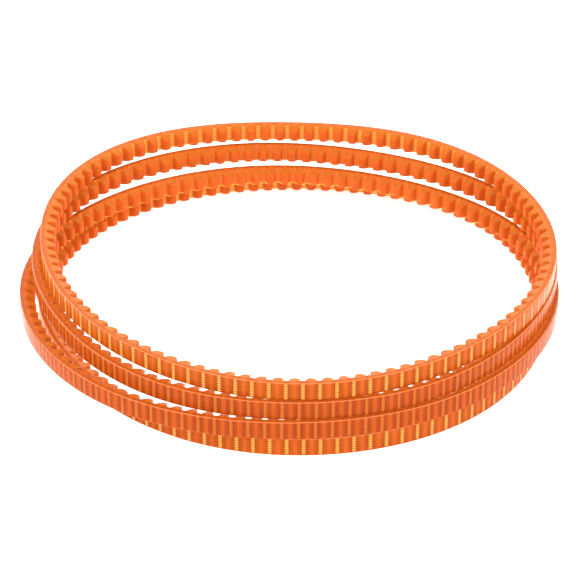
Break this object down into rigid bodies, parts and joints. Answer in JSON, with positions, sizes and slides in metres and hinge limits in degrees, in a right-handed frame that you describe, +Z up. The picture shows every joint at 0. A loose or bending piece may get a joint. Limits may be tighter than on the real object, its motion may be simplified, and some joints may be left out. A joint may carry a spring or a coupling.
{
  "type": "cogged v-belt set",
  "caption": "Loose stack of endless cast polyurethane V belts with moulded cogs inside and a tensile cord wound in the web.",
  "frame": {"origin": "middle of the set's footprint, on the flat surface the lowest belt lies on", "axes": "+Z up out of the stack, along the width of the belts; -Y towards the front of the set; +X to its right"},
  "size_m": [0.1416, 0.1304, 0.0203],
  "materials": {
    "cast_polyurethane": "smooth, glossy, translucent amber orange",
    "tensile_cord": "twisted cream cord"
  },
  "bodies": {
    "belt_1": {"belt_1_body": "cast_polyurethane", "belt_1_cord": "tensile_cord"},
    "belt_2": {"belt_2_body": "cast_polyurethane", "belt_2_cord": "tensile_cord"},
    "belt_3": {"belt_3_body": "cast_polyurethane", "belt_3_cord": "tensile_cord"},
    "belt_4": {"belt_4_body": "cast_polyurethane", "belt_4_cord": "tensile_cord"}
  },
  "joints": [
    {"name": "belt_2_lift", "type": "slide", "parent": "belt_1", "child": "belt_2", "axis": [0, 0, 1], "range_m": [0, 0.04]},
    {"name": "belt_3_lift", "type": "slide", "parent": "belt_2", "child": "belt_3", "axis": [0, 0, 1], "range_m": [0, 0.04]},
    {"name": "belt_4_lift", "type": "slide", "parent": "belt_3", "child": "belt_4", "axis": [0, 0, 1], "range_m": [0, 0.04]}
  ]
}
